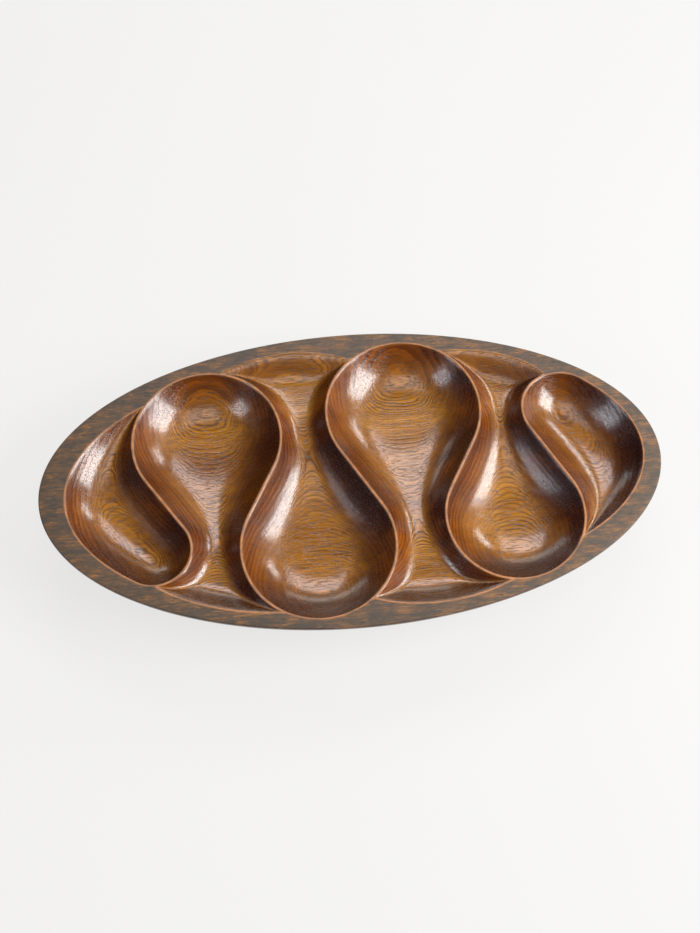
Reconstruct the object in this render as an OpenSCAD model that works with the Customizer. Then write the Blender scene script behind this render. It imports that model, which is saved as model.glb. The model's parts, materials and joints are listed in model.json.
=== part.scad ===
// Lazy susan: an oval carved serving tray that turns on a pressed-steel ball bearing above a round base.
// Millimetres, +Z up. The origin is on the turning axis, at the level that the feet stand on.

/* [Tray] */
// Length of the tray over its rim
tray_l = 510; // [480:5:540]
// Width of the tray over its rim
tray_w = 262; // [250:2:274]
// Thickness of the block that the tray is carved from
tray_h = 38; // [36:0.5:44]
// Depth of the bowls below the rim
bowl_depth = 25; // [18:0.5:25]
// Depth of a compartment's floor at its tail end
tail_depth = 13; // [8:0.5:18]
// Width of the crest between two compartments
crest_w = 1.4; // [1:0.2:3]
// How far the foot of the hull is set in from the rim
hull_inset = 40; // [32:1:46]
// Height of the upright lip under the rim
lip_h = 2.5; // [1.5:0.5:5]

/* [Bearing] */
// Side of each square plate
plate_side = 102; // [96:1:110]
// Sheet thickness of the plates
plate_t = 1.2; // [0.8:0.1:1.4]
// Height of the bearing between its two wooden faces
bearing_h = 9; // [8.8:0.1:10]
// Radius of the circle that the ball centres run on
race_r = 38; // [34:0.5:40]
// Diameter of one ball
ball_d = 5.5; // [5:0.1:5.6]
// Number of balls
ball_count = 16; // [12:1:18]
// Radius of the hub eyelet's barrel
eyelet_r = 12; // [10:0.5:16]

/* [Base] */
// Diameter of the base
base_d = 190; // [180:5:210]
// Thickness of the base
base_t = 16; // [14:1:20]
// Height of the rubber feet
foot_h = 5; // [4:0.5:7]
// Diameter of a foot where it meets the base
foot_d = 18; // [14:1:20]
// Radius of the circle that the feet stand on
foot_circle_r = 78; // [74:1:80]

/* [Fasteners] */
// Shank radius of the wood screws
screw_r = 1.7; // [1.4:0.1:2]
// How deep the screws bite into the tray
tray_bite = 8; // [6:0.5:8]
// How deep the screws bite into the base
base_bite = 11; // [8:0.5:11]

/* [Hidden] */
$fn = 96;
side_count = 4;

// Levels, from the table up
base_z = foot_h;
bearing_z = base_z + base_t;
mid_z = bearing_z + bearing_h / 2;
tray_z = bearing_z + bearing_h;
top_z = tray_z + tray_h;

// Tray plan. The rim is an ellipse, and the compartments lie in a smaller one that is a little off centre.
half_l = tray_l / 2;
half_w = tray_w / 2;
inner_shift = 3.5;
inner_scale = 0.937;
land_ease = 3; // how quickly a compartment's rim edge leaves the crest
// Six bowls, alternately near and far: x, y, radius, then how many degrees from the bowl's outermost
// point its edge stays on the rim's land, to the left and to the right.
plan_k = [tray_l / 510, tray_w / 262];
bowls = [
    [-163, -53, 30, 25, 0],
    [-117, 42, 61.5, 55, 13],
    [-32, -60, 62, 30, 39],
    [48, 54.5, 64.5, 38, 34],
    [128, -47.5, 56, 10, 64],
    [181, 44, 33.5, 17, 39]];
last = len(bowls) - 1;
// Reach from the walls at which a bowl is at its full depth
full_reach = 36 * plan_k[1];
// How a bowl's wall curves: 1 is straight, and a larger power is steeper at the edge and flatter below
wall_power = 1.5;
floor_run = [15, 125] * plan_k[1]; // how far from a bowl's middle its floor starts and stops rising
rim_slope = 0.72;                  // slope of the wall that ends a tail at the rim
blend_power = 6;                   // how crisply walls and floor meet
bowl_cut = bowl_depth * pow(2, 1 / blend_power); // blending takes this back to bowl_depth
rows = 44;
columns = 14;
hull_steps = 8;
hull_points = 120;
hull_foot_slope = 24;
rim_chamfer = 1;

// Bearing details
screw_hole_r = screw_r + 0.5;
plate_corner_r = 6;
screw_pitch = plate_side / 2 - 9;
dish_r = race_r + 8; // outside radius of the raised middle of a plate
dish_h = 1.9;        // how far that middle stands in from the flange
race_gap = 0.1;      // ball to groove
groove_r = ball_d / 2 + race_gap;
cage_t = 0.8;
cage_wall = 4.2;
eyelet_wall = 1.4;
eyelet_flange = 3;
eyelet_flange_t = 0.9;
running_gap = 0.06;

// Fastener details
head_r = 3.4;
head_h = 2;
slot_w = 0.8;
slot_depth = 0.9;
pilot_gap = 0.1;
pilot_extra = 0.6;
tack_r = 1.2;
tack_head_r = 3.2;
tack_head_h = 1.1;
tack_bite = 9;
foot_recess_r = 4.4;
foot_recess_h = 2.2;
access_r = 7;
access_x = screw_pitch * sqrt(2);
eps = 0.01;

// Plan of the compartments

function centre(i) = [bowls[i][0] * plan_k[0], bowls[i][1] * plan_k[1]];
function radius(i) = bowls[i][2] * plan_k[1];
// 1 for a far bowl, -1 for a near one
function side(i) = centre(i)[1] > 0 ? 1 : -1;
function outermost(i) = side(i) > 0 ? 90 : 270;
function bearing_to_next(i) = let (d = centre(i + 1) - centre(i)) atan2(d[1], d[0]);
// Half angle that the crest's straight stretch takes off the line of centres
function cross_angle(i) = acos((radius(i) + radius(i + 1)) / norm(centre(i + 1) - centre(i)));
// Where the crest leaves bowl i for the next bowl, and where it arrives from the one before
function leave(i) = bearing_to_next(i) + side(i) * cross_angle(i) + (side(i) < 0 ? 360 : 0);
function arrive(i) = bearing_to_next(i - 1) + 180 + side(i - 1) * cross_angle(i - 1);
function land_left(i) = outermost(i) + side(i) * bowls[i][3];
function land_right(i) = outermost(i) - side(i) * bowls[i][4];

function on_circle(c, r, a) = c + r * [cos(a), sin(a)];
function arc(i, r, from, to, n = 24) = [for (k = [0:n]) on_circle(centre(i), r, from + (to - from) * k / n)];
function reverse(v) = [for (k = [len(v) - 1:-1:0]) v[k]];

// The inner oval in its own coordinates: an angle and a share of the full oval
function oval_angle(p) = atan2(p[1] / half_w, (p[0] - inner_shift) / half_l);
function oval_share(p) = norm([(p[0] - inner_shift) / half_l, p[1] / half_w]);
function oval_point(a, s) = [inner_shift + half_l * s * cos(a), half_w * s * sin(a)];
function turn_of(i, a) = i == 0 && a < 0 ? a + 360 : a;
// Rim edge of compartment i from point p to point q, easing off the crest at both ends
function rim_edge(i, p, q, n = 40) =
    let (
        a0 = turn_of(i, oval_angle(p)),
        a1 = turn_of(i, oval_angle(q)),
        s0 = oval_share(p) - inner_scale,
        s1 = oval_share(q) - inner_scale)
    [for (k = [0:n]) let (t = k / n)
        oval_point(a0 + (a1 - a0) * t, inner_scale + s0 * pow(1 - t, land_ease) + s1 * pow(t, land_ease))];

// The two walls of a compartment, each from its tail's tip to the outermost point of its bowl
function own_r(i) = radius(i) - crest_w / 2;
function far_r(i) = radius(i) + crest_w / 2;
function tail_left(i) = on_circle(centre(i - 1), far_r(i - 1), land_right(i - 1));
function tail_right(i) = on_circle(centre(i + 1), far_r(i + 1), land_left(i + 1));
function left_wall(i) =
    i == 0 ? concat(
        rim_edge(0, tail_right(0), on_circle(centre(0), own_r(0), land_left(0)), 60),
        arc(0, own_r(0), land_left(0), outermost(0)))
    : concat(
        arc(i - 1, far_r(i - 1), land_right(i - 1), leave(i - 1)),
        arc(i, own_r(i), arrive(i), outermost(i)));
function right_wall(i) =
    i == last ? concat(
        rim_edge(i, tail_left(i), on_circle(centre(i), own_r(i), land_right(i)), 60),
        arc(i, own_r(i), land_right(i), outermost(i)))
    : concat(
        arc(i + 1, far_r(i + 1), land_left(i + 1), arrive(i + 1)),
        arc(i, own_r(i), leave(i), outermost(i)));
// The edge that ends a tail at the rim. The first and last tails end in a point, so they have none.
function tail_edge(i) = i == 0 || i == last ? [] : rim_edge(i, tail_left(i), tail_right(i));
// The walls again, each with its half of the tail's edge in front
function left_side(i) =
    let (e = tail_edge(i), middle = (len(e) - 1) / 2)
    concat([for (k = [middle:-1:0]) if (len(e) > 0) e[k]], left_wall(i));
function right_side(i) =
    let (e = tail_edge(i), middle = (len(e) - 1) / 2)
    concat([for (k = [middle:len(e) - 1]) if (len(e) > 0) e[k]], right_wall(i));

// n + 1 points at equal steps along a chain of points
function lengths(v, k = 0, sum = 0) =
    k >= len(v) - 1 ? [sum] : concat([sum], lengths(v, k + 1, sum + norm(v[k + 1] - v[k])));
function place(v, at, s, k = 0) =
    k >= len(v) - 2 || at[k + 1] >= s
        ? v[k] + (v[k + 1] - v[k]) * (at[k + 1] > at[k] ? (s - at[k]) / (at[k + 1] - at[k]) : 0)
        : place(v, at, s, k + 1);
function even(v, n) =
    let (at = lengths(v), whole = at[len(at) - 1])
    [for (k = [0:n]) place(v, at, whole * k / n)];

// Reach of a point from a whole chain of wall: close to it, it is the distance to it, and between two
// walls it is smaller than the distance to either, so floors and saddles come out smooth.
function pull(p, a, b) =
    a == b ? 0
    : let (d = b - a, l = norm(d), v = p - a, s = v * d / l, h2 = max(v * v - s * s, 1e-6), e = s - l)
    (s / sqrt(h2 + s * s) - e / sqrt(h2 + e * e)) / h2;
function add(v, k = 0, sum = 0) = k >= len(v) ? sum : add(v, k + 1, sum + v[k]);
function reach(p, chain) = sqrt(2 / add([for (k = [0:len(chain) - 2]) pull(p, chain[k], chain[k + 1])]));
// Smallest of several depths, rounded where two are alike
function blend(v) = pow(add([for (q = v) pow(q, -blend_power)]), -1 / blend_power);
function smooth_step(t) = let (u = min(max(t, 0), 1)) u * u * (3 - 2 * u);
// Depth of compartment i's floor before its walls rise: it gets shallower from the bowl to the tail
function floor_depth(i, p) =
    let (away = side(i) * (centre(i)[1] - p[1]), t = (away - floor_run[0]) / (floor_run[1] - floor_run[0]))
    bowl_cut - (bowl_cut - tail_depth) * smooth_step(t);
function depth(i, p, walls, edge) =
    let (x = min(reach(p, walls) / full_reach, 1))
    blend(concat(
        [bowl_cut * (1 - pow(1 - x, wall_power)), floor_depth(i, p)],
        len(edge) > 0 ? [rim_slope * reach(p, edge)] : []));

// Tray

// Grid of compartment i: its loop of edge points, then the floor points inside, row by row from tail to bowl
function loop_of(i) =
    let (a = even(left_side(i), rows), b = even(right_side(i), rows), far = side(i) > 0)
    concat(far ? b : a, [for (k = [rows - 1:-1:1]) far ? a[k] : b[k]]);
function floor_of(i, loop) =
    let (n = len(loop), walls = concat(left_wall(i), reverse(right_wall(i))), edge = tail_edge(i))
    [for (k = [1:rows - 1], m = [1:columns - 1])
        let (t = (1 - cos(180 * m / columns)) / 2, p = loop[k] + (loop[n - k] - loop[k]) * t)
        [p[0], p[1], top_z - depth(i, p, walls, edge)]];
// Index of point m in row k of a grid, where both ends of a row are on the loop
function grid_index(k, m) =
    k == 0 ? 0 : k == rows ? rows
    : m == 0 ? k : m == columns ? 2 * rows - k
    : 2 * rows + (k - 1) * (columns - 1) + m - 1;

// Hull section: a shallow arc from the foot to the lip, the lip, and a chamfer at the rim. [inset, height]
function hull_section() =
    let (
        rise = tray_h - lip_h - rim_chamfer,
        chord = atan2(rise, hull_inset),
        half = chord - hull_foot_slope,
        r = norm([rise, hull_inset]) / 2 / sin(half))
    concat(
        [for (k = [0:hull_steps]) let (a = hull_foot_slope + 2 * half * k / hull_steps)
            [hull_inset - r * (sin(a) - sin(hull_foot_slope)), r * (cos(hull_foot_slope) - cos(a))]],
        [[0, tray_h - rim_chamfer], [rim_chamfer, tray_h]]);

// Which point of a ring is nearest in angle to the end of compartment i, at the far rim or the near rim
function ring_end(i, far) =
    let (a = acos(centre(i)[0] / half_l))
    round((far ? a : 360 - a) / 360 * hull_points);
function run(v, from, to) = [for (k = [from:to > from ? 1 : -1:to]) v[(k + len(v)) % len(v)]];
function nearest(v, p) =
    let (d = [for (q = v) norm(q - p)], least = min(d)) [for (k = [0:len(v) - 1]) if (d[k] == least) k][0];
// Triangles between chains a and b of point numbers, clockwise from above where a is the chain further away
function zip(pts, a, b, i = 0, j = 0) =
    let (a_ends = i == len(a) - 1, b_ends = j == len(b) - 1)
    a_ends && b_ends ? []
    : b_ends || !a_ends && norm(pts[a[i + 1]] - pts[b[j]]) <= norm(pts[a[i]] - pts[b[j + 1]])
        ? concat([[a[i], a[i + 1], b[j]]], zip(pts, a, b, i + 1, j))
        : concat([[a[i], b[j + 1], b[j]]], zip(pts, a, b, i, j + 1));

// The whole wooden block: the hull's rings, the flat land of the rim and crests, and six carved floors
module carved_block() {
    section = hull_section();
    top_ring = (len(section) - 1) * hull_points;
    grids = [for (i = [0:last]) let (loop = loop_of(i))
        concat([for (p = loop) [p[0], p[1], top_z]], floor_of(i, loop))];
    points = concat(
        [for (s = section, k = [0:hull_points - 1]) let (a = 360 * k / hull_points)
            [(half_l - s[0]) * cos(a), (half_w - s[0]) * sin(a), tray_z + s[1]]],
        [for (grid = grids) each grid]);
    function at(i, k, m) = top_ring + hull_points + i * len(grids[0]) + grid_index(k, m);
    rim = [for (k = [0:hull_points - 1]) top_ring + k];
    // Point numbers down one side of compartment i, from the far rim to the near rim
    function down_left(i) =
        side(i) > 0 ? [for (k = [rows:-1:0]) at(i, k, columns)] : [for (k = [0:rows]) at(i, k, 0)];
    function down_right(i) =
        side(i) > 0 ? [for (k = [rows:-1:0]) at(i, k, 0)] : [for (k = [0:rows]) at(i, k, columns)];
    function nearest_in(chain, p) = nearest([for (k = chain) [points[k][0], points[k][1]]], p);
    // The land: outside the first compartment, then between neighbours along the far rim, down the crest
    // and along the near rim, then outside the last one
    land_faces = concat(
        zip(points, down_left(0), run(rim, ring_end(0, true), ring_end(0, false))),
        [for (i = [0:last - 1])
            let (
                a = down_right(i), b = down_left(i + 1),
                tips = side(i) < 0 ? [tail_right(i), tail_left(i + 1)] : [tail_left(i + 1), tail_right(i)],
                a0 = nearest_in(a, tips[0]), a1 = nearest_in(a, tips[1]),
                b0 = nearest_in(b, tips[0]), b1 = nearest_in(b, tips[1]))
            each concat(
                zip(points, run(rim, ring_end(i, true), ring_end(i + 1, true)),
                    concat(run(a, 0, a0), run(b, b0, 0))),
                zip(points, run(b, b0, b1), run(a, a0, a1)),
                zip(points, concat(run(a, rows, a1), run(b, b1, rows)),
                    run(rim, ring_end(i, false), ring_end(i + 1, false))))],
        zip(points, run(rim, ring_end(last, true), ring_end(last, false) - hull_points), down_right(last)));
    polyhedron(
        points = points,
        faces = concat(
            [[for (k = [0:hull_points - 1]) k]],
            [for (j = [0:len(section) - 2], k = [0:hull_points - 1])
                let (a = j * hull_points, b = a + hull_points, e = (k + 1) % hull_points)
                [a + k, b + k, b + e, a + e]],
            land_faces,
            [for (i = [0:last], k = [0:rows - 1], m = [0:columns - 1])
                [at(i, k, m), k == rows - 1 ? at(i, rows, 0) : at(i, k + 1, m + 1), at(i, k + 1, m)]],
            [for (i = [0:last], k = [1:rows - 1], m = [0:columns - 1])
                [at(i, k, m), at(i, k, m + 1), k == rows - 1 ? at(i, rows, 0) : at(i, k + 1, m + 1)]]),
        convexity = 8);
}

module tray() {
    color("saddlebrown") difference() {
        carved_block();
        at_corners(screw_pitch) translate([0, 0, tray_z - eps])
            cylinder(h = tray_bite + pilot_extra, r = screw_r + pilot_gap, $fn = 32);
    }
}

// Bearing

module at_corners(pitch) {
    for (k = [1:side_count]) at_corner(k, pitch) children();
}

module at_corner(k, pitch) {
    rotate([0, 0, 90 * (k - 1)]) translate([pitch, pitch, 0]) children();
}

module square_flange() {
    half = plate_side / 2 - plate_corner_r;
    linear_extrude(plate_t) difference() {
        union() {
            square([plate_side, plate_side - 2 * plate_corner_r], center = true);
            square([plate_side - 2 * plate_corner_r, plate_side], center = true);
            for (x = [-half, half], y = [-half, half]) translate([x, y]) circle(r = plate_corner_r);
        }
        circle(r = dish_r);
    }
}

// One plate with its flange down: the middle stands up by dish_h and has the ball groove pressed into it.
// ball_z is the height of the ball centres above the flange's outer face.
module race_plate(ball_z, hole_r) {
    difference() {
        union() {
            square_flange();
            rotate_extrude() difference() {
                union() {
                    // the slope from the flange up to the raised middle
                    polygon([[dish_r, 0], [dish_r + eps, plate_t], [dish_r - dish_h, plate_t + dish_h],
                        [dish_r - dish_h - plate_t, plate_t + dish_h], [dish_r - plate_t, 0]]);
                    translate([hole_r, dish_h]) square([dish_r - dish_h - hole_r - plate_t / 2, plate_t]);
                    // metal pushed out round the groove
                    intersection() {
                        translate([race_r, ball_z]) circle(r = groove_r + plate_t);
                        translate([race_r - groove_r - plate_t, 0])
                            square([2 * (groove_r + plate_t), dish_h + plate_t]);
                    }
                }
                translate([race_r, ball_z]) circle(r = groove_r);
            }
        }
        at_corners(screw_pitch) translate([0, 0, -1]) cylinder(h = plate_t + 2, r = screw_hole_r, $fn = 32);
    }
}

module bearing_bottom_plate() {
    color("silver") translate([0, 0, bearing_z]) race_plate(bearing_h / 2, eyelet_r);
}

module bearing_top_plate() {
    color("silver") translate([0, 0, tray_z]) mirror([0, 0, 1])
        race_plate(bearing_h / 2, eyelet_r + running_gap);
}

// Tubular rivet that holds the plates together: its flanges hook under one plate and over the other
module hub_eyelet() {
    low = bearing_z + dish_h - eyelet_flange_t;
    high = tray_z - dish_h + running_gap;
    color("darkgray") rotate_extrude() union() {
        translate([eyelet_r - eyelet_wall, low]) square([eyelet_wall, high + eyelet_flange_t - low]);
        translate([eyelet_r - eyelet_wall, low]) square([eyelet_wall + eyelet_flange, eyelet_flange_t]);
        translate([eyelet_r - eyelet_wall, high]) square([eyelet_wall + eyelet_flange, eyelet_flange_t]);
    }
}

function ball_angle(k) = 360 * (k - 0.5) / ball_count;

module at_ball(k) {
    rotate([0, 0, ball_angle(k)]) translate([race_r, 0, mid_z]) children();
}

module ball_cage() {
    color("goldenrod") difference() {
        translate([0, 0, mid_z - cage_t / 2]) difference() {
            cylinder(h = cage_t, r = race_r + cage_wall);
            translate([0, 0, -1]) cylinder(h = cage_t + 2, r = race_r - cage_wall);
        }
        for (k = [1:ball_count]) at_ball(k)
            translate([0, 0, -cage_t]) cylinder(h = 2 * cage_t, r = ball_d / 2 + 0.15, $fn = 32);
    }
}

module bearing_ball(k) {
    color("whitesmoke") at_ball(k) sphere(d = ball_d, $fn = 32);
}

// Base and feet

module base_disc() {
    edge_r = 5;
    chamfer = 1.5;
    r = base_d / 2;
    color("sienna") difference() {
        translate([0, 0, base_z]) rotate_extrude() union() {
            square([r - edge_r, base_t]);
            translate([0, chamfer]) square([r, base_t - edge_r - chamfer]);
            polygon([[0, 0], [r - chamfer, 0], [r, chamfer], [0, chamfer]]);
            translate([r - edge_r, base_t - edge_r]) intersection() {
                circle(r = edge_r);
                square(edge_r);
            }
        }
        at_corners(screw_pitch) translate([0, 0, bearing_z - base_bite - pilot_extra])
            cylinder(h = base_bite + pilot_extra + eps, r = screw_r + pilot_gap, $fn = 32);
        at_corners(foot_circle_r / sqrt(2)) translate([0, 0, base_z - eps])
            cylinder(h = tack_bite + pilot_extra, r = tack_r + pilot_gap, $fn = 32);
        // driver access to the tray's screws, beyond the edge of the lower plate
        translate([access_x, 0, base_z - 1]) cylinder(h = base_t + 2, r = access_r);
    }
}

module foot(k) {
    foot_low_r = foot_d / 2 - 1.5;
    color("dimgray") at_corner(k, foot_circle_r / sqrt(2)) rotate_extrude()
        polygon([[foot_recess_r, 0], [foot_low_r, 0], [foot_d / 2, foot_h], [tack_r + pilot_gap, foot_h],
            [tack_r + pilot_gap, foot_recess_h], [foot_recess_r, foot_recess_h]]);
}

// Fasteners, head down at z = 0 with the shank going up

module wood_screw(bite) {
    tip = plate_t + bite;
    shank = tip - 2.5;
    difference() {
        rotate_extrude($fn = 48) union() {
            intersection() {
                translate([0, head_r * 0.75]) circle(r = head_r * 1.25);
                translate([0, -head_h]) square([head_r, head_h]);
            }
            square([screw_r, shank]);
            polygon([[0, shank - eps], [screw_r, shank - eps], [0, tip]]);
        }
        for (a = [0, 90]) rotate([0, 0, a])
            translate([-head_r * 0.6, -slot_w / 2, -head_h - 1]) cube([head_r * 1.2, slot_w, 1 + slot_depth]);
    }
}

module tray_screw(k) {
    color("silver") at_corner(k, screw_pitch) translate([0, 0, tray_z - plate_t]) wood_screw(tray_bite);
}

module base_screw(k) {
    color("silver") at_corner(k, screw_pitch) translate([0, 0, bearing_z + plate_t])
        mirror([0, 0, 1]) wood_screw(base_bite);
}

module foot_tack(k) {
    tip = foot_h - foot_recess_h + tack_bite;
    shank = tip - 2.5;
    color("silver") at_corner(k, foot_circle_r / sqrt(2)) translate([0, 0, foot_recess_h])
        rotate_extrude($fn = 48) union() {
            polygon([[0, -tack_head_h], [tack_head_r - 0.6, -tack_head_h], [tack_head_r, -tack_head_h / 2],
                [tack_head_r, 0], [0, 0]]);
            square([tack_r, shank]);
            polygon([[0, shank - eps], [tack_r, shank - eps], [0, tip]]);
        }
}

tray();
bearing_top_plate();
ball_cage();
bearing_bottom_plate();
hub_eyelet();
base_disc();
for (k = [1:ball_count]) bearing_ball(k);
for (k = [1:side_count]) {
    tray_screw(k);
    base_screw(k);
    foot(k);
    foot_tack(k);
}
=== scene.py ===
"""Lazy susan: a carved oval serving tray that turns on a ball bearing above a round base.

The tray is carved here as a fine mesh in place of its coarser CAD node. Every other piece is the CAD
node itself with a procedural material. The tray's shape is worked out in millimetres, as the CAD has it.
The lights, the camera and the materials are in metres, as the scene is.
"""

import json
import math

import bpy
import numpy as np
from mathutils import Matrix, Vector
from mathutils.geometry import delaunay_2d_cdt


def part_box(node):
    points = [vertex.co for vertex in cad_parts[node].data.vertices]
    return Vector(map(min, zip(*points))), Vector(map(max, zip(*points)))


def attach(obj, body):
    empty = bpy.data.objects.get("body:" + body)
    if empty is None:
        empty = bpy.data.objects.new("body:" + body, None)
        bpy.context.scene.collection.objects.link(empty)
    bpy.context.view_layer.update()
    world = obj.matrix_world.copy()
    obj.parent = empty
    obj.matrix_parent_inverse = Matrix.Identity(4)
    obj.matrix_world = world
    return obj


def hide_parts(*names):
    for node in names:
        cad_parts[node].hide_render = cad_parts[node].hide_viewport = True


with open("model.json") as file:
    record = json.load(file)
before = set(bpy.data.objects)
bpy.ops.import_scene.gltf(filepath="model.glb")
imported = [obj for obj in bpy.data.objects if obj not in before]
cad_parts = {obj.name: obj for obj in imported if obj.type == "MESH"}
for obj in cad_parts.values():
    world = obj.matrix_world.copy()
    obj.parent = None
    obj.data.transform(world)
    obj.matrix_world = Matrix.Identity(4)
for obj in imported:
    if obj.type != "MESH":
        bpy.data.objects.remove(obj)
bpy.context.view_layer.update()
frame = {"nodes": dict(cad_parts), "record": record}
NODES = frame["nodes"]
MM = 0.001

# ---------------------------------------------------------------- camera

VIEW_HEIGHT = math.radians(65)   # how far above the horizon the tray is seen from
VIEW_TURN = math.radians(-5.28)  # the viewer stands a little to the left of the tray's middle
VIEW_DISTANCE = 1.0
LENS_ACROSS = math.radians(31.98)
AIM_RIGHT = -0.0016              # where the camera looks, from the tray's middle
AIM_AWAY = 0.0056


def make_camera(aim_height):
    """A camera that looks at the tray's middle at the height given."""
    turn = Matrix.Rotation(VIEW_TURN, 4, "Z")
    back = Vector((0, -math.cos(VIEW_HEIGHT), math.sin(VIEW_HEIGHT)))
    place = turn @ (Vector((AIM_RIGHT, AIM_AWAY, aim_height)) + back * VIEW_DISTANCE)
    data = bpy.data.cameras.new("camera")
    data.sensor_fit = "HORIZONTAL"
    data.angle = LENS_ACROSS
    camera = bpy.data.objects.new("camera", data)
    bpy.context.collection.objects.link(camera)
    tilt = Matrix.Rotation(math.pi / 2 - VIEW_HEIGHT, 4, "X")
    camera.matrix_world = Matrix.Translation(place) @ turn @ tilt
    bpy.context.scene.camera = camera


# ---------------------------------------------------------------- tray shape

tray_low, tray_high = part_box("tray")
HALF_LENGTH = tray_high.x / MM
HALF_WIDTH = tray_high.y / MM
TRAY_BOTTOM = tray_low.z / MM
TRAY_TOP = tray_high.z / MM

# Six bowls, alternately near and far: x, y, radius, and the degrees to the left and to the right of the
# bowl's outermost point over which its edge lies on the rim
BOWLS = [
    (-163, -53, 30, 25, 0),
    (-117, 42, 61.5, 55, 13),
    (-32, -60, 62, 30, 39),
    (48, 54.5, 64.5, 38, 34),
    (128, -47.5, 56, 10, 64),
    (181, 44, 33.5, 17, 39),
]
LAST = len(BOWLS) - 1
BOWL_DEPTH = 25
TAIL_DEPTH = 13          # depth of a compartment's floor at its tail end
FULL_REACH = 36          # reach from the walls at which a bowl is at its full depth
WALL_POWER = 1.5         # how a bowl's wall curves: 1 is straight, and more is steeper at the edge
FLOOR_RUN = (15, 125)    # how far from a bowl's middle its floor starts and stops rising
RIM_SLOPE = 0.72         # slope of the wall that ends a tail at the rim
BLEND_POWER = 6          # how crisply walls and floor meet
BOWL_CUT = BOWL_DEPTH * 2 ** (1 / BLEND_POWER)  # blending takes this back to BOWL_DEPTH
LEAST_DEPTH = 1e-6       # keeps a power of the depth finite at an edge
CREST = 0.7              # flat width left on a crest between its two rounded edges
EDGE_ROUND = 0.8         # rounding of a carved edge
WORN_ROUND = 3.0         # rounding of the rim's edge above a tail on the far side
INNER_SHIFT = 3.5        # how far the oval that holds the compartments is off the middle
INNER_SCALE = 0.937      # size of that oval as a share of the tray's
LAND_EASE = 3            # how quickly a compartment's rim edge leaves the crest
HULL_INSET = 40          # how far the flat underside is in from the rim
HULL_FOOT_SLOPE = math.radians(24)
LIP = 2.5                # height of the upright band under the rim's rounding
RIM_ROUND = 1.2
SHOULDER = 1.1           # width of the strip of land beside a carved edge
SHOULDER_GAP = 0.8       # share of SHOULDER within which a point is too near another compartment's edge
SHOULDER_SKIP = 3        # points of an edge for each point of its shoulder
EDGE_FADE = 0.45         # how far the worn colour of an edge runs down the wall
RIM_FADE = 0.5           # how far the rim's duller finish runs down the wall
UNWORN = 9               # a distance from the edges at which nothing is worn
OFF_THE_WALL = 1e-4      # a step aside for points that lie on a wall, where its pull is endless

ROWS = 200               # steps along a compartment's walls
COLUMNS = 60             # steps from wall to wall
HULL_STEPS = 24
RIM_STEPS = 6
HULL_POINTS = 480
ARC_STEPS = 90
RIM_EDGE_STEPS = 240


def centre(i):
    return np.array(BOWLS[i][:2], float)


def side(i):
    """1 for a bowl on the far side, -1 for one on the near side."""
    return 1 if BOWLS[i][1] > 0 else -1


def outermost(i):
    """Bearing of bowl i's point nearest the rim."""
    return 90 if side(i) > 0 else 270


def towards_next(i):
    """Bearing of the next bowl's centre from bowl i's."""
    step = centre(i + 1) - centre(i)
    return math.degrees(math.atan2(step[1], step[0]))


def crossing(i):
    """Angle at bowl i's centre between the next bowl's centre and the crest's straight stretch's start."""
    gap = np.linalg.norm(centre(i + 1) - centre(i))
    return math.degrees(math.acos((BOWLS[i][2] + BOWLS[i + 1][2]) / gap))


def leave(i):
    """Bearing at which the crest to the next bowl leaves bowl i's circle."""
    return towards_next(i) + side(i) * crossing(i) + (360 if side(i) < 0 else 0)


def arrive(i):
    """Bearing at which the crest from the bowl before meets bowl i's circle."""
    return towards_next(i - 1) + 180 + side(i - 1) * crossing(i - 1)


def land_left(i):
    """Bearing at which bowl i's edge leaves the rim on its left."""
    return outermost(i) + side(i) * BOWLS[i][3]


def land_right(i):
    """Bearing at which bowl i's edge leaves the rim on its right."""
    return outermost(i) - side(i) * BOWLS[i][4]


def arc(i, grow, start, end, steps=ARC_STEPS):
    """Points on bowl i's circle, made larger by grow, from one bearing to another."""
    a = np.radians(np.linspace(start, end, steps + 1))
    return centre(i) + (BOWLS[i][2] + grow) * np.stack([np.cos(a), np.sin(a)], 1)


def oval_angle(p):
    """Where p is round the oval that holds the compartments."""
    return math.atan2(p[1] / HALF_WIDTH, (p[0] - INNER_SHIFT) / HALF_LENGTH)


def oval_share(p):
    """How far out p is in that oval, where 1 is the tray's own size."""
    return math.hypot((p[0] - INNER_SHIFT) / HALF_LENGTH, p[1] / HALF_WIDTH)


def rim_edge(i, start, end, steps=RIM_EDGE_STEPS):
    """Compartment i's edge along the rim between two points, easing off the crest at both ends."""
    a0, a1 = oval_angle(start), oval_angle(end)
    if i == 0:
        a0, a1 = a0 % math.tau, a1 % math.tau
    t = np.linspace(0, 1, steps + 1)
    share = (INNER_SCALE + (oval_share(start) - INNER_SCALE) * (1 - t) ** LAND_EASE
             + (oval_share(end) - INNER_SCALE) * t ** LAND_EASE)
    a = a0 + (a1 - a0) * t
    return np.stack([INNER_SHIFT + HALF_LENGTH * share * np.cos(a), HALF_WIDTH * share * np.sin(a)], 1)


# A compartment's edge runs inside its own bowl's circle and outside its neighbours', by half the crest
IN = -CREST / 2
OUT = CREST / 2


def tail_left(i):
    """Left corner of compartment i's tail at the rim."""
    return arc(i - 1, OUT, land_right(i - 1), land_right(i - 1), 0)[0]


def tail_right(i):
    """Right corner of compartment i's tail at the rim."""
    return arc(i + 1, OUT, land_left(i + 1), land_left(i + 1), 0)[0]


def left_wall(i):
    """Compartment i's left wall, from its tail's tip to its bowl's outermost point."""
    if i == 0:
        end = arc(0, IN, land_left(0), land_left(0), 0)[0]
        tail = rim_edge(0, tail_right(0), end)
        bowl = arc(0, IN, land_left(0), outermost(0))
    else:
        tail = arc(i - 1, OUT, land_right(i - 1), leave(i - 1))
        bowl = arc(i, IN, arrive(i), outermost(i))
    return np.concatenate([tail, bowl])


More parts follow.
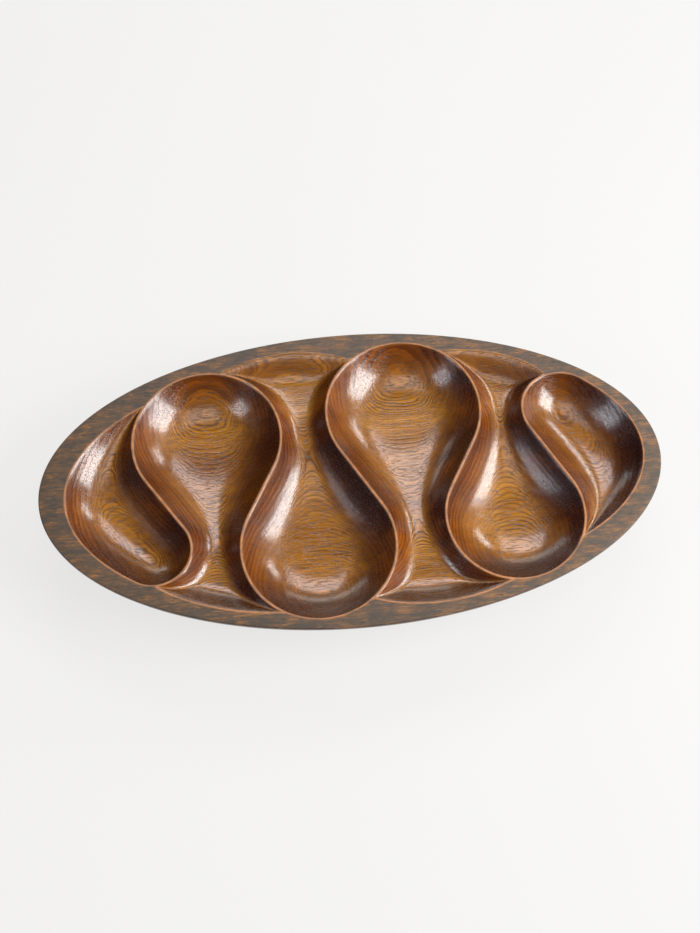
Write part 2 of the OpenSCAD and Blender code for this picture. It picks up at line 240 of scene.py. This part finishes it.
def right_wall(i):
    """Compartment i's right wall, from its tail's tip to its bowl's outermost point."""
    if i == LAST:
        end = arc(i, IN, land_right(i), land_right(i), 0)[0]
        tail = rim_edge(i, tail_left(i), end)
        bowl = arc(i, IN, land_right(i), outermost(i))
    else:
        tail = arc(i + 1, OUT, land_left(i + 1), arrive(i + 1))
        bowl = arc(i, IN, leave(i), outermost(i))
    return np.concatenate([tail, bowl])


def tail_edge(i):
    """The edge that ends compartment i's tail at the rim. The first and last tails end in a point."""
    return rim_edge(i, tail_left(i), tail_right(i)) if 0 < i < LAST else np.zeros((0, 2))


def even(chain, steps):
    """The chain with its points at equal steps."""
    chain = chain[np.r_[True, np.linalg.norm(np.diff(chain, axis=0), axis=1) > 1e-9]]
    run = np.r_[0, np.cumsum(np.linalg.norm(np.diff(chain, axis=0), axis=1))]
    at = np.linspace(0, run[-1], steps + 1)
    return np.stack([np.interp(at, run, chain[:, k]) for k in (0, 1)], 1)


def reach(points, chain):
    """Distance of points from a whole chain of wall.

    Near the wall it is the plain distance. Between two walls, where both count, it is less.
    """
    total = np.zeros(len(points))
    for a, b in zip(chain, chain[1:]):
        length = np.linalg.norm(b - a)
        if length < 1e-9:
            continue
        from_a = points - a
        along = from_a @ (b - a) / length
        off = np.maximum((from_a ** 2).sum(1) - along ** 2, 1e-6)
        past = along - length
        total += (along / np.sqrt(off + along ** 2) - past / np.sqrt(off + past ** 2)) / off
    return np.sqrt(2 / total)


def eased(distance, rounding):
    """The distance with its first stretch rounded off, so that a wall starts level."""
    return np.sqrt(distance ** 2 + rounding ** 2) - rounding


def carve_depth(i, points, walls):
    """Depths of compartment i's points below the rim, and their reach from the edges that wear."""
    away = reach(points, walls)
    full = np.minimum(eased(away, EDGE_ROUND) / FULL_REACH, 1)
    along = side(i) * (centre(i)[1] - points[:, 1])
    rise = np.clip((along - FLOOR_RUN[0]) / (FLOOR_RUN[1] - FLOOR_RUN[0]), 0, 1)
    rise = rise * rise * (3 - 2 * rise)
    depths = [BOWL_CUT * (1 - (1 - full) ** WALL_POWER), BOWL_CUT - (BOWL_CUT - TAIL_DEPTH) * rise]
    nearest = away
    if 0 < i < LAST:
        from_rim = reach(points, tail_edge(i))
        depths.append(RIM_SLOPE * eased(from_rim, WORN_ROUND if side(i) < 0 else EDGE_ROUND))
        if side(i) > 0:
            nearest = np.minimum(nearest, from_rim)
    total = sum(np.maximum(d, LEAST_DEPTH) ** -BLEND_POWER for d in depths)
    return total ** (-1 / BLEND_POWER), nearest


def grid_index(loop_length):
    """Which point is where in a compartment's grid, rows from one end to the other.

    The points of the loop come first, and both ends of the grid are single points.
    """
    index = np.empty((ROWS + 1, COLUMNS + 1), int)
    index[0] = 0
    index[-1] = ROWS
    index[1:-1, 0] = np.arange(1, ROWS)
    index[1:-1, -1] = 2 * ROWS - np.arange(1, ROWS)
    inside = np.arange((ROWS - 1) * (COLUMNS - 1)).reshape(ROWS - 1, COLUMNS - 1)
    index[1:-1, 1:-1] = loop_length + inside
    return index


def grid_faces(index):
    """Four-sided faces of the grid, and three-sided ones where it narrows to its ends."""
    faces = []
    for k in range(ROWS):
        for m in range(COLUMNS):
            corners = [index[k, m], index[k + 1, m], index[k + 1, m + 1], index[k, m + 1]]
            faces.append([int(c) for j, c in enumerate(corners) if c != corners[j - 1]])
    return faces


def carve(i):
    """Points, faces, loop length and wear distances of compartment i.

    Its loop of edge points comes first, and the rest are on its floor and walls.
    """
    left, right, edge = left_wall(i), right_wall(i), tail_edge(i)
    walls = np.concatenate([left, right[::-1]])
    if len(edge):
        left = np.concatenate([edge[: len(edge) // 2 + 1][::-1], left])
        right = np.concatenate([edge[len(edge) // 2:], right])
    a, b = even(left, ROWS), even(right, ROWS)
    if side(i) > 0:
        a, b = b, a
    loop = np.concatenate([a, b[-2:0:-1]])
    share = (1 - np.cos(np.pi * np.arange(1, COLUMNS) / COLUMNS)) / 2
    inside = (a[1:-1, None] + (b[1:-1, None] - a[1:-1, None]) * share[None, :, None]).reshape(-1, 2)
    depth, away = carve_depth(i, inside, walls)
    points = np.zeros((len(loop) + len(inside), 3))
    points[:, :2] = np.concatenate([loop, inside])
    points[:, 2] = TRAY_TOP
    points[len(loop):, 2] -= depth
    worn = np.r_[np.zeros(len(loop)), away]
    if side(i) < 0 and len(edge):
        worn[: len(loop)] = np.minimum(reach(loop + OFF_THE_WALL, walls), UNWORN)
    return points, grid_faces(grid_index(len(loop))), len(loop), worn


def hull_section():
    """The hull's outline from its foot to the flat of the rim, as inset and height."""
    rise = TRAY_TOP - TRAY_BOTTOM - LIP - RIM_ROUND
    half = math.atan2(rise, HULL_INSET) - HULL_FOOT_SLOPE
    radius = math.hypot(rise, HULL_INSET) / 2 / math.sin(half)
    a = HULL_FOOT_SLOPE + 2 * half * np.linspace(0, 1, HULL_STEPS + 1)
    inset = HULL_INSET - radius * (np.sin(a) - math.sin(HULL_FOOT_SLOPE))
    height = TRAY_BOTTOM + radius * (math.cos(HULL_FOOT_SLOPE) - np.cos(a))
    b = np.radians(np.linspace(0, 90, RIM_STEPS + 1))
    edge_inset = RIM_ROUND * (1 - np.cos(b))
    edge_height = TRAY_TOP - RIM_ROUND * (1 - np.sin(b))
    return np.stack([np.r_[inset, edge_inset], np.r_[height, edge_height]], 1)


def hull_rings():
    """Points of the hull, one ring after another from its foot to the flat of the rim."""
    a = np.radians(np.arange(HULL_POINTS) * 360 / HULL_POINTS)
    rings = []
    for inset, height in hull_section():
        x, y = (HALF_LENGTH - inset) * np.cos(a), (HALF_WIDTH - inset) * np.sin(a)
        rings.append(np.stack([x, y, np.full(len(a), height)], 1))
    return rings


def hull_faces(ring_count):
    """The flat underside, and the faces between each ring and the next."""
    faces = [list(range(HULL_POINTS))[::-1]]
    for ring in range(ring_count - 1):
        low, high = ring * HULL_POINTS, (ring + 1) * HULL_POINTS
        for k in range(HULL_POINTS):
            e = (k + 1) % HULL_POINTS
            faces.append([low + k, low + e, high + e, high + k])
    return faces


def tray_mesh():
    """The carved tray, with how worn its edges are and where its rim's finish is as point attributes."""
    points = hull_rings()
    faces = hull_faces(len(points))
    hull_count = len(points) * HULL_POINTS
    outlines = [list(range(hull_count - HULL_POINTS, hull_count))]
    edge = [np.zeros(hull_count)]
    rim = [np.zeros(hull_count)]
    rim[0][-HULL_POINTS * RIM_STEPS:] = 1
    count = hull_count
    for i in range(len(BOWLS)):
        grid, grid_sides, loop_length, away = carve(i)
        faces += [[c + count for c in face] for face in grid_sides]
        outlines.append(list(range(count, count + loop_length)))
        points.append(grid)
        edge.append(np.exp(-(away / EDGE_FADE) ** 2))
        rim.append(np.exp(-away / RIM_FADE))
        count += len(grid)
    carved = np.concatenate(points)
    shoulder = land_shoulder([carved[outline][:, :2] for outline in outlines[1:]])
    edge.append(np.zeros(len(shoulder)))
    rim.append(np.ones(len(shoulder)))
    everything = np.concatenate([carved, shoulder])
    faces += land_faces(everything, outlines, range(count, count + len(shoulder)))
    mesh = bpy.data.meshes.new("tray_carved")
    mesh.from_pydata(everything * MM, [], faces)
    mesh.polygons.foreach_set("use_smooth", [True] * len(mesh.polygons))
    for name, values in (("edge", edge), ("rim", rim)):
        mesh.attributes.new(name, "FLOAT", "POINT").data.foreach_set("value", np.concatenate(values))
    mesh.validate()
    mesh.update()
    return mesh


def land_shoulder(loops):
    """Points on the flat land a little outside every loop, where the edge's worn colour has ended."""
    made = []
    for loop in loops:
        along = np.roll(loop, -1, axis=0) - np.roll(loop, 1, axis=0)
        out = np.stack([along[:, 1], -along[:, 0]], 1) / np.linalg.norm(along, axis=1)[:, None]
        for p in (loop + SHOULDER * out)[::SHOULDER_SKIP]:
            nearest = min(np.linalg.norm(other - p, axis=1).min() for other in loops)
            clear = nearest > SHOULDER * SHOULDER_GAP
            if clear and in_oval(p) and not any(in_loop(p, other) for other in loops):
                made.append([p[0], p[1], TRAY_TOP])
    return np.array(made)


def land_faces(points, outlines, loose):
    """Triangles of the flat land between the rim and the compartments' loops."""
    chosen = [k for outline in outlines for k in outline] + list(loose)
    edges = []
    start = 0
    for outline in outlines:
        n = len(outline)
        edges += [(start + k, start + (k + 1) % n) for k in range(n)]
        start += n
    plan = [Vector(points[k][:2]) for k in chosen]
    made = delaunay_2d_cdt(plan, edges, [], 0, 1e-7)
    loops = [points[outline][:, :2] for outline in outlines[1:]]
    tris = []
    for t in made[2]:
        middle = np.mean([made[0][k][:] for k in t], axis=0)
        if in_oval(middle) and not any(in_loop(middle, loop) for loop in loops):
            tris.append([chosen[made[3][k][0]] for k in t])
    return tris


def in_oval(p):
    """Whether p is inside the flat of the rim."""
    share = math.hypot(p[0] / (HALF_LENGTH - RIM_ROUND), p[1] / (HALF_WIDTH - RIM_ROUND))
    return share < 1


def in_loop(p, loop):
    """Whether p is in the loop: a line from p to the right crosses the loop an odd number of times."""
    a, b = loop, np.roll(loop, -1, axis=0)
    crosses = (a[:, 1] > p[1]) != (b[:, 1] > p[1])
    with np.errstate(divide="ignore", invalid="ignore"):
        x = a[:, 0] + (p[1] - a[:, 1]) * (b[:, 0] - a[:, 0]) / (b[:, 1] - a[:, 1])
    return np.count_nonzero(crosses & (p[0] < x)) % 2 == 1


# ---------------------------------------------------------------- materials

class Graph:
    """A node material and short ways to add nodes to it."""

    def __init__(self, name):
        self.material = bpy.data.materials.new(name)
        self.material.use_nodes = True
        self.tree = self.material.node_tree
        self.shader = self.tree.nodes["Principled BSDF"]

    def add(self, kind, **inputs):
        made = self.tree.nodes.new(kind)
        for name, value in inputs.items():
            self.set(made, name.replace("_", " "), value)
        return made

    def set(self, target, name, value):
        socket = target.inputs[int(name)] if name.isdigit() else target.inputs[name]
        if isinstance(value, bpy.types.NodeSocket):
            self.tree.links.new(value, socket)
        else:
            socket.default_value = value

    def math(self, operation, a, b=0.0, c=0.0, clamp=False):
        made = self.tree.nodes.new("ShaderNodeMath")
        made.operation = operation
        made.use_clamp = clamp
        for k, value in enumerate((a, b, c)):
            self.set(made, str(k), value)
        return made.outputs[0]

    def vector_math(self, operation, *values):
        made = self.tree.nodes.new("ShaderNodeVectorMath")
        made.operation = operation
        for k, value in enumerate(values):
            self.set(made, str(k), value)
        return made

    def place(self):
        return self.add("ShaderNodeTexCoord").outputs["Object"]

    def stretched(self, scale):
        """The object's own coordinates, times scale."""
        made = self.tree.nodes.new("ShaderNodeMapping")
        self.set(made, "Vector", self.place())
        self.set(made, "Scale", scale)
        return made.outputs[0]

    def noise(self, vector, scale, detail=3.0, roughness=0.5):
        made = self.add("ShaderNodeTexNoise", Vector=vector, Scale=scale, Detail=detail,
                        Roughness=roughness)
        return made.outputs[0]

    def ramp(self, value, *stops):
        """stops are pairs of place and grey level, or place and colour."""
        made = self.add("ShaderNodeValToRGB", Fac=value)
        elements = made.color_ramp.elements
        while len(elements) < len(stops):
            elements.new(0.5)
        for element, (at, colour) in zip(elements, stops):
            element.position = at
            element.color = (*colour, 1) if isinstance(colour, tuple) else (colour, colour, colour, 1)
        return made.outputs[0]

    def mix(self, amount, a, b, blend="MIX"):
        made = self.tree.nodes.new("ShaderNodeMix")
        made.data_type = "RGBA"
        made.blend_type = blend
        for name, value in (("Factor", amount), ("A", a), ("B", b)):
            socket = next(s for s in made.inputs
                          if s.name == name and s.enabled and s.type in ("VALUE", "RGBA"))
            if isinstance(value, bpy.types.NodeSocket):
                self.tree.links.new(value, socket)
            else:
                socket.default_value = (*value, 1) if isinstance(value, tuple) else value
        return next(s for s in made.outputs if s.enabled)

    def attribute(self, name):
        made = self.tree.nodes.new("ShaderNodeAttribute")
        made.attribute_name = name
        return made.outputs["Fac"]

    def bump(self, height, strength, distance, under=None):
        made = self.add("ShaderNodeBump", Height=height, Strength=strength, Distance=distance)
        if under is not None:
            self.set(made, "Normal", under)
        return made.outputs[0]

    def finish(self, **inputs):
        for name, value in inputs.items():
            value = (*value, 1) if isinstance(value, tuple) and len(value) == 3 else value
            self.set(self.shader, name.replace("_", " "), value)
        return self.material


# Colours are linear. Stops of a colour ramp are a place and the colour there.
GOLDEN = ((0.32, (0.20, 0.070, 0.006)), (0.50, (0.28, 0.109, 0.009)), (0.68, (0.37, 0.156, 0.013)))
RUDDY = ((0.30, (0.07, 0.010, 0.001)), (0.55, (0.165, 0.031, 0.001)), (0.70, (0.27, 0.064, 0.002)))
RIM_DULL = ((0.40, (0.034, 0.021, 0.009)), (0.52, (0.092, 0.040, 0.008)), (0.62, (0.19, 0.074, 0.009)))
LATE_WOOD = (0.026, 0.005, 0.001)
STREAK = (0.045, 0.012, 0.003)
PORE = (0.010, 0.005, 0.003)
RIM_STREAK = (0.028, 0.018, 0.009)
RIM_PORE = (0.012, 0.008, 0.006)
WORN = (0.35, 0.130, 0.034)
LEFT_STAIN_AND_SHADE = (0.17, 0.035, 0.015)  # what a wall that faces left keeps of its colour: partly end-grain stain, partly painted shade
FAR_FACING_SHADE = (0.30, 0.29, 0.55)    # what a wall that faces the far side keeps of its colour: painted shade, greyer than the wood
VARNISH_IOR = 1.58

PITH = Vector((0, -0.006, 0.26))       # the middle of the tree that the tray's block was sawn from
RING = 0.0027                          # thickness of a year's growth in it
BASE_PITH = Vector((0, -0.02, -0.3))
BASE_RING = 0.0024
RING_DRIFT = 0.009                     # how far the growth rings wander from a circle
FINE_LINES = 3.7                       # finer lines in a year's growth


def growth_rings(g, pith, ring, drift):
    """How far through its year's growth the wood is (0 to 1), which year it is, and the two together."""
    offset = g.vector_math("SUBTRACT", g.place(), pith)
    flat = g.vector_math("MULTIPLY", offset.outputs[0], Vector((0, 1, 1)))
    radius = g.vector_math("LENGTH", flat.outputs[0]).outputs["Value"]
    years = g.math("DIVIDE", g.math("ADD", radius, drift), ring)
    return g.math("FRACT", years), g.math("FLOOR", years), years


def late_wood(g, phase, year, years, patch):
    """Mask for the dark end of each year's growth, stronger in some years and in bands of years."""
    late = g.ramp(phase, (0.0, 0.1), (0.25, 0.0), (0.5, 0.65), (0.9, 1.0), (1.0, 0.1))
    strength = g.add("ShaderNodeTexWhiteNoise")
    strength.noise_dimensions = "1D"
    g.set(strength, "W", year)
    late = g.math("MULTIPLY", late, g.math("MULTIPLY_ADD", strength.outputs["Value"], 0.5, 0.5))
    late = g.math("MULTIPLY", late, g.ramp(patch, (0.3, 0.5), (0.5, 1.0)))
    bands = g.add("ShaderNodeTexNoise", Scale=0.33, Detail=2.0, Roughness=0.6)
    bands.noise_dimensions = "1D"
    g.set(bands, "W", years)
    return g.math("MAXIMUM", late, g.ramp(bands.outputs[0], (0.5, 0.0), (0.72, 0.7)))


def wood_grain(g, pith, ring):
    """Masks for late wood, finer lines within a year, fibre streaks along X, and open pores."""
    drift = g.math("MULTIPLY", g.noise(g.stretched((3, 14, 30)), 1.0, 4.0, 0.6), RING_DRIFT)
    phase, year, years = growth_rings(g, pith, ring, drift)
    patch = g.noise(g.stretched((14, 60, 60)), 1.0, 3.0, 0.6)
    late = late_wood(g, phase, year, years, patch)
    fine_phase = g.math("FRACT", g.math("MULTIPLY", years, FINE_LINES))
    fine = g.ramp(fine_phase, (0.3, 0.0), (0.75, 1.0), (0.9, 0.9), (1.0, 0.0))
    fine = g.math("MULTIPLY", fine, g.ramp(patch, (0.35, 0.3), (0.6, 1.0)))
    fibre = g.noise(g.stretched((30, 620, 620)), 1.0, 5.0, 0.65)
    pores = g.ramp(g.noise(g.stretched((130, 1500, 1500)), 1.0, 3.0, 0.5), (0.56, 0.0), (0.64, 1.0))
    return late, fine, fibre, pores


def carved_colour(g, facing, level, late, fibre, pores):
    """Colour inside the compartments: golden floors, ruddy walls, and darker walls that face left or the
    far side.

    On walls that face left the darkening is partly end-grain stain and partly painted shade; on walls that
    face the far side it is painted shade, greyer than the wood.
    """
    broad = g.noise(g.stretched((7, 22, 22)), 1.0, 4.0, 0.6)
    colour = g.mix(level, g.ramp(broad, *RUDDY), g.ramp(broad, *GOLDEN))
    colour = g.mix(g.math("MULTIPLY", late, 0.9), colour, LATE_WOOD)
    streaks = g.ramp(fibre, (0.34, 0.5), (0.52, 0.0))
    streaks = g.math("MULTIPLY", streaks, g.math("MULTIPLY_ADD", level, 0.8, 0.2))
    colour = g.mix(streaks, colour, STREAK)
    # Painted shade, partly end-grain stain: walls that face left are darkened.
    leftward = g.math("MULTIPLY", facing.outputs["X"], -1.0)
    leftward = g.ramp(leftward, (0.13, 0.0), (0.36, 0.45), (0.72, 1.0))
    leftward = g.math("MULTIPLY", leftward, g.ramp(broad, (0.42, 1.0), (0.6, 0.62)))
    colour = g.mix(leftward, colour, LEFT_STAIN_AND_SHADE, "MULTIPLY")
    # Painted shade: walls that face the far side are darkened and greyed.
    away = g.ramp(facing.outputs["Y"], (0.28, 0.0), (0.58, 1.0))
    colour = g.mix(away, colour, FAR_FACING_SHADE, "MULTIPLY")
    return g.mix(g.math("MULTIPLY", pores, 0.8), colour, PORE)


def rim_colour(g, mottle, fibre, pores):
    """The duller, mottled colour of the flat rim and its rounded outer edge."""
    dull = g.ramp(mottle, *RIM_DULL)
    dull = g.mix(g.ramp(fibre, (0.4, 0.75), (0.58, 0.0)), dull, RIM_STREAK)
    return g.mix(g.math("MULTIPLY", pores, 0.85), dull, RIM_PORE)


def tray_wood():
    """Varnished wood with growth rings, glossy inside the compartments and duller on the rim."""
    g = Graph("tray_wood")
    late, fine, fibre, pores = wood_grain(g, PITH, RING)
    facing = g.tree.nodes.new("ShaderNodeSeparateXYZ")
    g.set(facing, "0", g.add("ShaderNodeTexCoord").outputs["Normal"])
    level = g.ramp(facing.outputs["Z"], (0.62, 0.0), (0.98, 1.0))
    late = g.math("MULTIPLY", late, g.math("MULTIPLY_ADD", level, -0.6, 1.0))
    fine = g.math("MULTIPLY", fine, g.math("MULTIPLY_ADD", level, 0.6, 0.2))
    late = g.math("MAXIMUM", late, g.math("MULTIPLY", fine, 1.1))
    rim = g.attribute("rim")
    mottle = g.noise(g.stretched((55, 130, 130)), 1.0, 6.0, 0.75)
    colour = carved_colour(g, facing, level, late, fibre, pores)
    colour = g.mix(rim, colour, rim_colour(g, mottle, fibre, pores))
    worn = g.math("MULTIPLY", g.attribute("edge"), g.ramp(mottle, (0.36, 0.35), (0.58, 0.95)))
    colour = g.mix(worn, colour, WORN)
    rough = g.math("MULTIPLY_ADD", rim, 0.42, 0.14)
    rough = g.math("MULTIPLY_ADD", pores, 0.12, rough)
    rough = g.math("MULTIPLY_ADD", fibre, 0.05, rough)
    height = g.math("ADD", g.math("MULTIPLY", pores, -1.0), g.math("MULTIPLY", late, 1.1))
    height = g.math("MULTIPLY_ADD", fibre, 0.7, height)
    normal = g.bump(height, 0.35, 0.00014)
    return g.finish(Base_Color=colour, Roughness=rough, Normal=normal, IOR=VARNISH_IOR)


def base_wood():
    """The same wood in a plainer, satin finish."""
    g = Graph("base_wood")
    late, fine, fibre, pores = wood_grain(g, BASE_PITH, BASE_RING)
    late = g.math("MAXIMUM", late, g.math("MULTIPLY", fine, 0.4))
    colour = g.mix(late, (0.20, 0.085, 0.03), (0.075, 0.028, 0.012))
    colour = g.mix(g.ramp(fibre, (0.35, 0.5), (0.6, 0.0)), colour, (0.05, 0.02, 0.01))
    colour = g.mix(g.math("MULTIPLY", pores, 0.7), colour, (0.02, 0.01, 0.006))
    rough = g.math("MULTIPLY_ADD", pores, 0.1, 0.38)
    normal = g.bump(g.math("MULTIPLY", pores, -1.0), 0.3, 0.0002)
    return g.finish(Base_Color=colour, Roughness=rough, Normal=normal)


# Slot, colour, darker tint, roughness, scratches per metre along X, and how strongly they show
METALS = [
    ("plated_steel", (0.60, 0.61, 0.62), (0.44, 0.45, 0.47), 0.26, 60, 0.3),
    ("zinc_steel", (0.58, 0.57, 0.52), (0.42, 0.42, 0.40), 0.28, 200, 0.25),
    ("bright_steel", (0.80, 0.80, 0.82), (0.70, 0.70, 0.73), 0.06, 300, 0.05),
    ("cage_brass", (0.75, 0.55, 0.24), (0.55, 0.38, 0.16), 0.24, 90, 0.25),
]


def metal(name, colour, dark, rough, scratch_scale, bump_strength):
    """Metal with blotches of a darker tint and fine scratches along X."""
    g = Graph(name)
    blotch = g.noise(g.stretched((60, 60, 60)), 1.0, 4.0)
    scratch = g.noise(g.stretched((scratch_scale, scratch_scale * 12, scratch_scale * 6)), 1.0, 3.0, 0.6)
    tint = g.mix(g.ramp(blotch, (0.4, 0.0), (0.65, 1.0)), colour, dark)
    roughness = g.math("MULTIPLY_ADD", scratch, 0.25, rough)
    normal = g.bump(scratch, bump_strength, 0.00005)
    return g.finish(Base_Color=tint, Metallic=1.0, Roughness=roughness, Normal=normal)


def rubber():
    """Fine-grained black rubber with some dust on it."""
    g = Graph("rubber")
    grain = g.noise(g.stretched((1400, 1400, 1400)), 1.0, 2.0)
    dust = g.noise(g.stretched((90, 90, 90)), 1.0, 4.0)
    colour = g.mix(g.ramp(dust, (0.5, 0.0), (0.75, 1.0)), (0.02, 0.02, 0.021), (0.06, 0.057, 0.053))
    rough = g.math("MULTIPLY_ADD", dust, 0.2, 0.6)
    normal = g.bump(grain, 0.3, 0.00015)
    return g.finish(Base_Color=colour, Roughness=rough, Normal=normal)


def paint_nodes():
    """Gives every carried-over CAD node its material."""
    by_slot = {metal_look[0]: metal(*metal_look) for metal_look in METALS}
    by_slot["rubber"] = rubber()
    by_slot["base_wood"] = base_wood()
    for part in frame["record"]["subparts"]:
        material = by_slot.get(part["material_slot"])
        if material:
            slots = NODES[part["node"]].data.materials
            slots.clear()
            slots.append(material)


# ---------------------------------------------------------------- studio

ROOM = 0.07         # brightness of the room round the lights
BACKDROP = 0.77     # brightness of what the camera sees beyond the floor
FLOOR_OUT = 6       # half the floor's side
FLOOR_GLOW = 0.735  # evens out the floor, as a lit table does
WHITE = (1, 1, 1)

# Name, bearing and height in degrees, distance, width, length, radiance and colour.
# The keys make the strong highlights on the walls that face them, and "back" the pale patches in the
# compartments' necks. The rest fill in.
LIGHTS = [
    ("key_right", 107, 37, 1.6, 0.95, 0.8, 17.5, WHITE),
    ("key_left", -110, 38, 1.6, 0.45, 0.6, 7.5, (0.90, 0.92, 1.0)),
    ("side_right", 80, 52, 2.0, 1.2, 1.2, 0.5, WHITE),
    ("side_back", 52, 27, 2.0, 0.6, 0.4, 12.0, WHITE),
    ("back", 8, 46, 2.2, 1.5, 0.9, 6.2, (0.97, 0.94, 1.0)),
    ("back_low", -4, 13, 2.4, 2.8, 0.5, 3.0, (0.94, 0.98, 0.96)),
    ("overhead", 178, 78, 2.2, 1.4, 1.2, 2.6, WHITE),
]


def make_floor():
    """A plain pale floor."""
    g = Graph("floor")
    patches = g.noise(g.stretched((3, 3, 3)), 1.0)
    tint = g.mix(patches, (0.096, 0.096, 0.095), (0.104, 0.103, 0.102))
    g.finish(Base_Color=tint, Roughness=0.95, Specular_IOR_Level=0.0,
             Emission_Color=(1.0, 0.995, 0.98), Emission_Strength=FLOOR_GLOW)
    mesh = bpy.data.meshes.new("floor")
    corners = [(-FLOOR_OUT, -FLOOR_OUT, 0), (FLOOR_OUT, -FLOOR_OUT, 0),
               (FLOOR_OUT, FLOOR_OUT, 0), (-FLOOR_OUT, FLOOR_OUT, 0)]
    mesh.from_pydata(corners, [], [(0, 1, 2, 3)])
    mesh.materials.append(g.material)
    floor = bpy.data.objects.new("floor", mesh)
    bpy.context.collection.objects.link(floor)


def softbox(name, bearing, height, distance, width, length, radiance, colour):
    """A rectangular light that faces the tray. bearing 0 is behind the tray, and 90 is on its right."""
    data = bpy.data.lights.new(name, "AREA")
    data.shape = "RECTANGLE"
    data.size, data.size_y = width, length
    data.energy = math.pi * width * length * radiance
    data.color = colour
    light = bpy.data.objects.new(name, data)
    bpy.context.collection.objects.link(light)
    b, h = math.radians(bearing), math.radians(height)
    away = Vector((math.sin(b) * math.cos(h), math.cos(b) * math.cos(h), math.sin(h)))
    light.location = away * distance + Vector((0, 0, TRAY_TOP * MM))
    light.rotation_euler = away.to_track_quat("Z", "Y").to_euler()


def make_world():
    """A dim room, which the camera alone sees as a pale backdrop."""
    world = bpy.data.worlds.new("studio")
    world.use_nodes = True
    tree = world.node_tree
    seen = tree.nodes.new("ShaderNodeLightPath")
    strength = tree.nodes.new("ShaderNodeMath")
    strength.operation = "MULTIPLY_ADD"
    tree.links.new(seen.outputs["Is Camera Ray"], strength.inputs[0])
    strength.inputs[1].default_value = BACKDROP - ROOM
    strength.inputs[2].default_value = ROOM
    tree.links.new(strength.outputs[0], tree.nodes["Background"].inputs["Strength"])
    tree.nodes["Background"].inputs["Color"].default_value = (1, 1, 1, 1)
    bpy.context.scene.world = world


def make_tray():
    """The finely carved tray, which stands for the CAD's coarser one."""
    tray = bpy.data.objects.new("tray_carved", tray_mesh())
    bpy.context.collection.objects.link(tray)
    tray.data.materials.append(tray_wood())
    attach(tray, "tray")
    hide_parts("tray")


make_camera(TRAY_TOP * MM)
make_tray()
paint_nodes()
make_floor()
make_world()
for light in LIGHTS:
    softbox(*light)
bpy.context.scene.view_settings.view_transform = "Standard"
